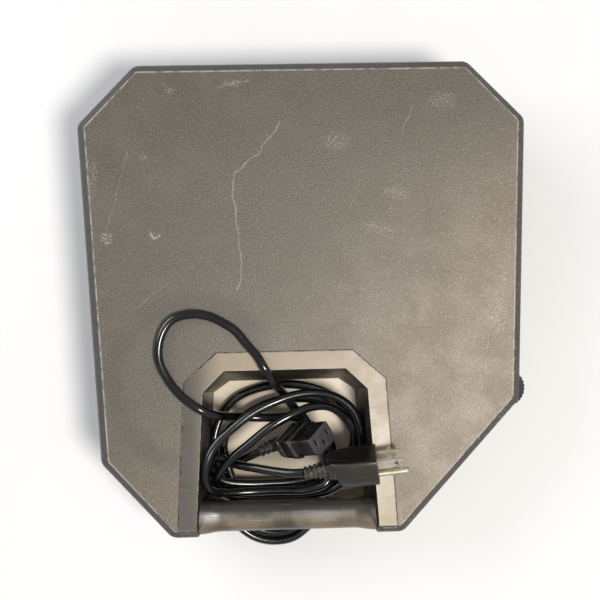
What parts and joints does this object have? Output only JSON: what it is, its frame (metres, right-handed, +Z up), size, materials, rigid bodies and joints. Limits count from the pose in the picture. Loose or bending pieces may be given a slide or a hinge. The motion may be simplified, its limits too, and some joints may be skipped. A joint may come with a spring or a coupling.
{
  "type": "electronic percussion pad",
  "caption": "Octagonal electronic percussion multi-pad lying on its playing side, with a carry-handle pocket in its flat back holding a detachable power lead.",
  "frame": {"origin": "centre of the case outline on the surface it rests on, level with the striking faces of the rubber pads", "axes": "+Z up out of the flat back, +X across the case, +Y towards the jack side, -Y towards the carry handle"},
  "size_m": [0.3226, 0.355, 0.1115],
  "materials": {
    "shell_back": "fine pebble grain, scuffed and scratched",
    "insert": "smooth satin moulding",
    "grip": "smooth satin, hand-polished",
    "bezel": "fine grained",
    "pad_rubber": "textured",
    "button_rubber": "satin",
    "gloss_black": "gloss",
    "smoked_window": "smoked gloss",
    "circuit_board": "solder resist",
    "steel": "brushed",
    "brass_pin": "plated",
    "plug_blade": "nickel plated",
    "plug_moulding": "satin moulded pvc",
    "cord_jacket": "satin pvc jacket"
  },
  "bodies": {
    "chassis": {"rear_shell": "shell_back", "handle_insert": "insert", "handle_bar": "grip", "front_shell": "bezel", "jack_panel": "bezel", "pad_1": "pad_rubber", "pad_2": "pad_rubber", "pad_3": "pad_rubber", "pad_4": "pad_rubber", "pad_5": "pad_rubber", "pad_6": "pad_rubber", "pad_7": "pad_rubber", "pad_8": "pad_rubber", "control_panel": "gloss_black", "iec_inlet": "gloss_black", "rocker_frame": "gloss_black", "midi_in_socket": "gloss_black", "midi_out_socket": "gloss_black", "display_window": "smoked_window", "main_board": "circuit_board", "power_board": "circuit_board", "panel_board": "circuit_board", "sensor_strip_1": "circuit_board", "sensor_strip_2": "circuit_board", "sensor_strip_3": "circuit_board", "pad_tray": "steel", "transformer": "steel", "lcd_module": "steel", "dial_encoder": "steel", "volume_pot": "steel", "output_jack_right": "steel", "output_jack_left": "steel", "phones_jack": "steel", "case_screw_1": "steel", "case_screw_2": "steel", "case_screw_3": "steel", "case_screw_4": "steel", "handle_screw_left": "steel", "handle_screw_right": "steel", "inlet_pin_line": "brass_pin", "inlet_pin_neutral": "brass_pin", "inlet_pin_earth": "brass_pin", "plug_earth_pin": "brass_pin", "plug_blade_line": "plug_blade", "plug_blade_neutral": "plug_blade", "connector_body": "plug_moulding", "plug_body": "plug_moulding", "cord_loop": "cord_jacket", "cord_tail": "cord_jacket", "cord_plug_lead": "cord_jacket", "cord_coil": "cord_jacket"},
    "button_1_body": {"button_1": "button_rubber"},
    "button_2_body": {"button_2": "button_rubber"},
    "button_3_body": {"button_3": "button_rubber"},
    "button_4_body": {"button_4": "button_rubber"},
    "dial_body": {"value_dial": "button_rubber"},
    "wheel_body": {"volume_wheel": "button_rubber"},
    "rocker_body": {"power_rocker": "gloss_black"}
  },
  "joints": [
    {"name": "button_1_press", "type": "slide", "parent": "chassis", "child": "button_1_body", "axis": [0, 0, 1], "range_m": [0, 0.0015], "stiffness_N_per_m": 400},
    {"name": "button_2_press", "type": "slide", "parent": "chassis", "child": "button_2_body", "axis": [0, 0, 1], "range_m": [0, 0.0015], "stiffness_N_per_m": 400},
    {"name": "button_3_press", "type": "slide", "parent": "chassis", "child": "button_3_body", "axis": [0, 0, 1], "range_m": [0, 0.0015], "stiffness_N_per_m": 400},
    {"name": "button_4_press", "type": "slide", "parent": "chassis", "child": "button_4_body", "axis": [0, 0, 1], "range_m": [0, 0.0015], "stiffness_N_per_m": 400},
    {"name": "value_dial_turn", "type": "hinge", "parent": "chassis", "child": "dial_body", "pos_m": [0.087, 0.124, 0.0055], "axis": [0, 0, 1], "continuous": true},
    {"name": "volume_wheel_turn", "type": "hinge", "parent": "chassis", "child": "wheel_body", "pos_m": [0.1448, -0.068, 0.066], "axis": [0, 0, 1], "range_deg": [-150, 150]},
    {"name": "power_rocker_tilt", "type": "hinge", "parent": "chassis", "child": "rocker_body", "pos_m": [-0.05, 0.161, 0.056], "axis": [1, 0, 0], "range_deg": [-18, 0]}
  ]
}
